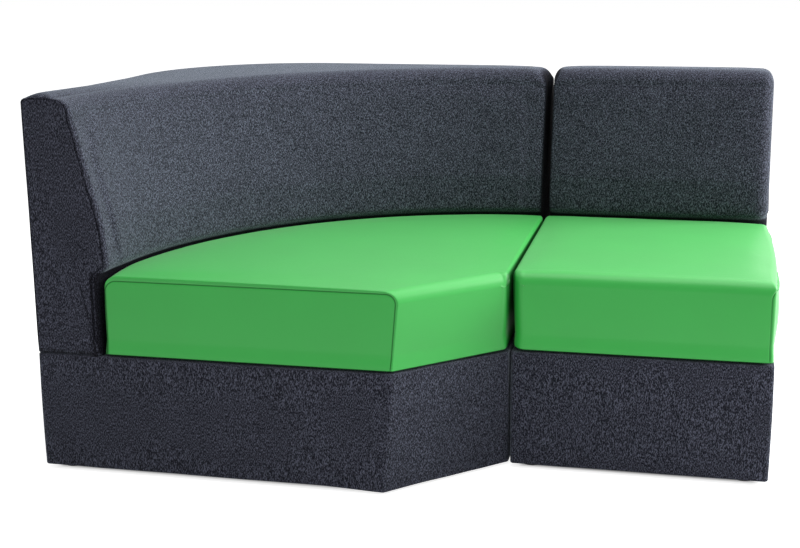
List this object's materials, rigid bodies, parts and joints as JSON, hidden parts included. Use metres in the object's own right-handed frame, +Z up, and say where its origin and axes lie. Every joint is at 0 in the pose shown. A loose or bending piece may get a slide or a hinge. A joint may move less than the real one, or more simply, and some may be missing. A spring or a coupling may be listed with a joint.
{
  "type": "upholstered banquette bench",
  "caption": "Modular upholstered banquette: a curved-back corner seat linked to a straight seat, vinyl cushions on fabric-covered plinths with levelling feet.",
  "frame": {"origin": "on the floor, under the middle of the whole bench's box", "axes": "+X along the row towards the straight unit's free end, -Y the side people sit down from, +Z up"},
  "size_m": [1.573, 1.012, 0.833],
  "materials": {
    "upholstery_fabric": "charcoal melange woven upholstery fabric",
    "seat_vinyl": "smooth green coated upholstery vinyl, soft sheen",
    "foam": "open-cell polyurethane foam",
    "plywood": "raw birch plywood",
    "hardwood": "raw hardwood",
    "black_cloth": "thin black non-woven cloth",
    "black_plastic": "moulded black plastic",
    "zinc_steel": "zinc-plated steel"
  },
  "bodies": {
    "bench": {"corner_base_cover": "upholstery_fabric", "corner_base_padding": "foam", "corner_base_deck": "plywood", "corner_base_cross_rail": "plywood", "corner_base_blocks": "hardwood", "corner_dust_cover": "black_cloth", "corner_seat_cover": "seat_vinyl", "corner_seat_board": "plywood", "corner_seat_foam": "foam", "corner_back_cover": "upholstery_fabric", "corner_back_foam": "foam", "corner_back_foot_plate": "plywood", "corner_back_cap_plate": "plywood", "corner_back_front_skin": "plywood", "corner_back_rear_skin": "plywood", "corner_back_ribs": "plywood", "straight_base_cover": "upholstery_fabric", "straight_base_padding": "foam", "straight_base_deck": "plywood", "straight_base_cross_rail": "plywood", "straight_base_blocks": "hardwood", "straight_dust_cover": "black_cloth", "straight_seat_cover": "seat_vinyl", "straight_seat_board": "plywood", "straight_seat_foam": "foam", "straight_back_cover": "upholstery_fabric", "straight_back_foam": "foam", "straight_back_foot_plate": "plywood", "straight_back_cap_plate": "plywood", "straight_back_front_skin": "plywood", "straight_back_rear_skin": "plywood", "straight_back_ribs": "plywood", "corner_base_front_panel": "plywood", "corner_base_link_end_panel": "plywood", "corner_base_open_end_panel": "plywood", "corner_base_rear_panel": "plywood", "corner_base_side_panel": "plywood", "corner_base_bent_panel": "plywood", "straight_base_left_panel": "plywood", "straight_base_right_panel": "plywood", "straight_base_front_panel": "plywood", "straight_base_rear_panel": "plywood", "foot_tee_nuts": "zinc_steel", "back_bolts": "zinc_steel", "back_tee_nuts": "zinc_steel", "seat_screws": "zinc_steel", "link_pivot_bolts": "zinc_steel", "link_studs": "zinc_steel"},
    "corner_link_front_foot": {"corner_link_front_foot": "black_plastic"},
    "corner_link_rear_foot": {"corner_link_rear_foot": "black_plastic"},
    "corner_open_front_foot": {"corner_open_front_foot": "black_plastic"},
    "corner_open_outer_foot": {"corner_open_outer_foot": "black_plastic"},
    "corner_round_foot": {"corner_round_foot": "black_plastic"},
    "straight_front_left_foot": {"straight_front_left_foot": "black_plastic"},
    "straight_front_right_foot": {"straight_front_right_foot": "black_plastic"},
    "straight_rear_left_foot": {"straight_rear_left_foot": "black_plastic"},
    "straight_rear_right_foot": {"straight_rear_right_foot": "black_plastic"},
    "link_plate_front": {"link_plate_front": "zinc_steel"},
    "link_plate_rear": {"link_plate_rear": "zinc_steel"}
  },
  "joints": [
    {"name": "corner_link_front_level", "type": "slide", "parent": "bench", "child": "corner_link_front_foot", "axis": [0, 0, -1], "range_m": [0, 0.01]},
    {"name": "corner_link_rear_level", "type": "slide", "parent": "bench", "child": "corner_link_rear_foot", "axis": [0, 0, -1], "range_m": [0, 0.01]},
    {"name": "corner_open_front_level", "type": "slide", "parent": "bench", "child": "corner_open_front_foot", "axis": [0, 0, -1], "range_m": [0, 0.01]},
    {"name": "corner_open_outer_level", "type": "slide", "parent": "bench", "child": "corner_open_outer_foot", "axis": [0, 0, -1], "range_m": [0, 0.01]},
    {"name": "corner_round_level", "type": "slide", "parent": "bench", "child": "corner_round_foot", "axis": [0, 0, -1], "range_m": [0, 0.01]},
    {"name": "straight_front_left_level", "type": "slide", "parent": "bench", "child": "straight_front_left_foot", "axis": [0, 0, -1], "range_m": [0, 0.01]},
    {"name": "straight_front_right_level", "type": "slide", "parent": "bench", "child": "straight_front_right_foot", "axis": [0, 0, -1], "range_m": [0, 0.01]},
    {"name": "straight_rear_left_level", "type": "slide", "parent": "bench", "child": "straight_rear_left_foot", "axis": [0, 0, -1], "range_m": [0, 0.01]},
    {"name": "straight_rear_right_level", "type": "slide", "parent": "bench", "child": "straight_rear_right_foot", "axis": [0, 0, -1], "range_m": [0, 0.01]},
    {"name": "link_front_swing", "type": "hinge", "parent": "bench", "child": "link_plate_front", "pos_m": [0.1809, -0.18931, 0.0085], "axis": [0, 0, 1], "range_deg": [0, 90]},
    {"name": "link_rear_swing", "type": "hinge", "parent": "bench", "child": "link_plate_rear", "pos_m": [0.1809, 0.3964, 0.0085], "axis": [0, 0, -1], "range_deg": [0, 90]}
  ]
}
